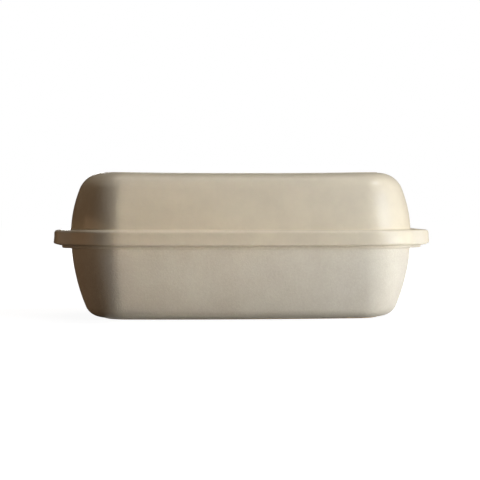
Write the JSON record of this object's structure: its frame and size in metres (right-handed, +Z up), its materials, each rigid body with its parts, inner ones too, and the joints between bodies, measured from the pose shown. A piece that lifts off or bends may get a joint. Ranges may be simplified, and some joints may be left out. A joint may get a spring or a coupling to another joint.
{
  "type": "covered loaf baker",
  "caption": "Long rounded ceramic loaf dish with a domed lift-off lid whose skirt wraps the dish's rim and flares into end handles, for baking bread.",
  "frame": {"origin": "middle of the plane that the foot ring rests on, below the centre of the dish", "axes": "+X along the length, through the end handles; +Y across the width, away from the viewer of the picture; +Z up, the way the lid lifts"},
  "size_m": [0.395, 0.16, 0.1554],
  "materials": {
    "dish_glaze": "matte cream glaze with a fine grain on stoneware",
    "lid_glaze": "satin warm cream glaze on stoneware"
  },
  "bodies": {
    "dish": {"dish": "dish_glaze"},
    "lid": {"lid": "lid_glaze"}
  },
  "joints": [
    {"name": "lid_lift", "type": "slide", "parent": "dish", "child": "lid", "axis": [0, 0, 1], "range_m": [0, 0.16]}
  ]
}
